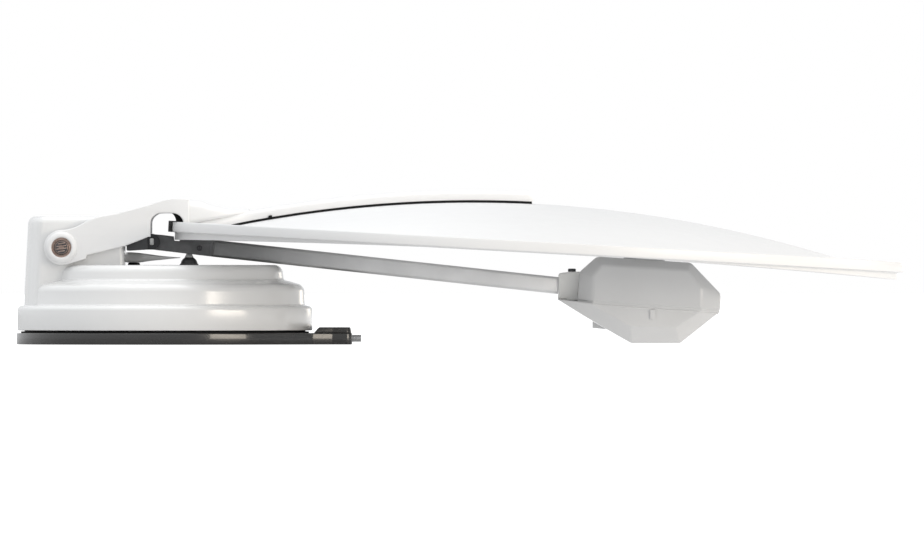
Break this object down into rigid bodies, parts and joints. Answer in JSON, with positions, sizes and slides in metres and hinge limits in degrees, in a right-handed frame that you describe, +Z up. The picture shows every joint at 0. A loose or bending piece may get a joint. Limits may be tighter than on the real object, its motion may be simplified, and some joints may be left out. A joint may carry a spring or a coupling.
{
  "type": "folding satellite dish antenna",
  "caption": "Motorised roof-mount satellite dish, folded flat: round turret housing, fork arm, offset reflector and a folding feed arm with a faceted receiver head.",
  "frame": {"origin": "azimuth axis at the underside of the base plate, where the roof bolts' circle is centred", "axes": "+Z up along the azimuth axis, away from the roof; +X towards the far end of the folded reflector"},
  "size_m": [1.029, 0.791, 0.1788],
  "materials": {
    "base_black": "satin",
    "cover_black": "satin",
    "shell_white": "gloss",
    "arm_white": "satin",
    "reflector_white": "satin",
    "bracket_dark": "satin",
    "hinge_dark": "satin",
    "tube_grey": "brushed",
    "steel": "satin",
    "dark_steel": "satin",
    "bronze": "satin",
    "rubber_black": "matte",
    "bumper_rubber": "matte",
    "guide_grey": "satin",
    "head_grey": "satin",
    "head_light": "satin",
    "cap_white": "satin",
    "alloy": "satin",
    "motor_grey": "satin",
    "gear_ivory": "matte",
    "gear_brass": "satin",
    "board_green": "satin"
  },
  "bodies": {
    "base": {"base_plate": "base_black", "extension_cover": "cover_black", "cover_screws": "dark_steel", "coax_sockets": "steel", "skirt_seal": "rubber_black", "slew_ring_outer": "alloy", "ring_gear": "gear_ivory"},
    "turret": {"slew_ring_inner": "alloy", "slew_screws": "steel", "turntable": "alloy", "housing_shell": "shell_white", "housing_screws": "steel", "elevation_frame": "alloy", "elevation_bushes": "bronze", "elevation_motor": "motor_grey", "azimuth_motor": "motor_grey", "control_board": "board_green", "board_standoffs": "gear_brass", "cable_guide": "guide_grey", "guide_grommet": "rubber_black", "bumper_pad": "bumper_rubber", "bumper_stem": "steel"},
    "azimuth_drive": {"azimuth_pinion": "gear_brass"},
    "elevation_drive": {"elevation_pinion": "gear_brass"},
    "fork": {"yoke_arm": "arm_white", "elevation_shaft": "bronze", "shaft_collars": "bronze", "elevation_gear": "gear_ivory", "back_rib": "arm_white", "rib_gasket": "rubber_black", "reflector": "reflector_white", "rim_buffer": "rubber_black", "rib_bolts": "steel", "hinge_bracket": "bracket_dark", "feed_pin": "steel", "feed_spring": "steel"},
    "feed_arm": {"feed_hinge": "hinge_dark", "feed_tube": "tube_grey", "hinge_bolts": "dark_steel", "head_neck": "head_grey", "neck_screw": "dark_steel", "head_upper_shell": "head_grey", "head_lower_shell": "head_light", "head_latches": "head_light", "head_gland": "head_grey", "skew_motor": "motor_grey"},
    "skew_unit": {"receiver": "alloy", "horn_cap": "cap_white", "skew_gear": "gear_ivory"},
    "skew_drive": {"skew_pinion": "gear_brass"}
  },
  "joints": [
    {"name": "azimuth", "type": "hinge", "parent": "base", "child": "turret", "pos_m": [0, 0, 0.02], "axis": [0, 0, 1], "range_deg": [-180, 180]},
    {"name": "azimuth_pinion_spin", "type": "hinge", "parent": "turret", "child": "azimuth_drive", "pos_m": [0.039, -0.06755, 0.02], "axis": [0, 0, 1], "range_deg": [-995, 995]},
    {"name": "elevation", "type": "hinge", "parent": "turret", "child": "fork", "pos_m": [-0.1189, 0, 0.1122], "axis": [0, -1, 0], "range_deg": [0, 130]},
    {"name": "elevation_pinion_spin", "type": "hinge", "parent": "turret", "child": "elevation_drive", "pos_m": [-0.08673, 0.019, 0.0852], "axis": [0, -1, 0], "range_deg": [-330, 5]},
    {"name": "feed_fold", "type": "hinge", "parent": "fork", "child": "feed_arm", "pos_m": [-0.0151, 0, 0.119], "axis": [0, 1, 0], "range_deg": [0, 60.5]},
    {"name": "skew", "type": "hinge", "parent": "feed_arm", "child": "skew_unit", "pos_m": [0.556, 0, 0.0981], "axis": [0.0652, 0, 0.9979], "range_deg": [-60, 60]},
    {"name": "skew_pinion_spin", "type": "hinge", "parent": "feed_arm", "child": "skew_drive", "pos_m": [0.59192, 0, 0.09575], "axis": [0.0652, 0, 0.9979], "range_deg": [-185, 185]}
  ],
  "couplings": [
    {"joint": "azimuth_pinion_spin", "follows": "azimuth", "ratio": 5.5},
    {"joint": "elevation_pinion_spin", "follows": "elevation", "ratio": -2.5},
    {"joint": "feed_fold", "follows": "elevation", "ratio": 0.46154},
    {"joint": "skew_pinion_spin", "follows": "skew", "ratio": -3}
  ]
}
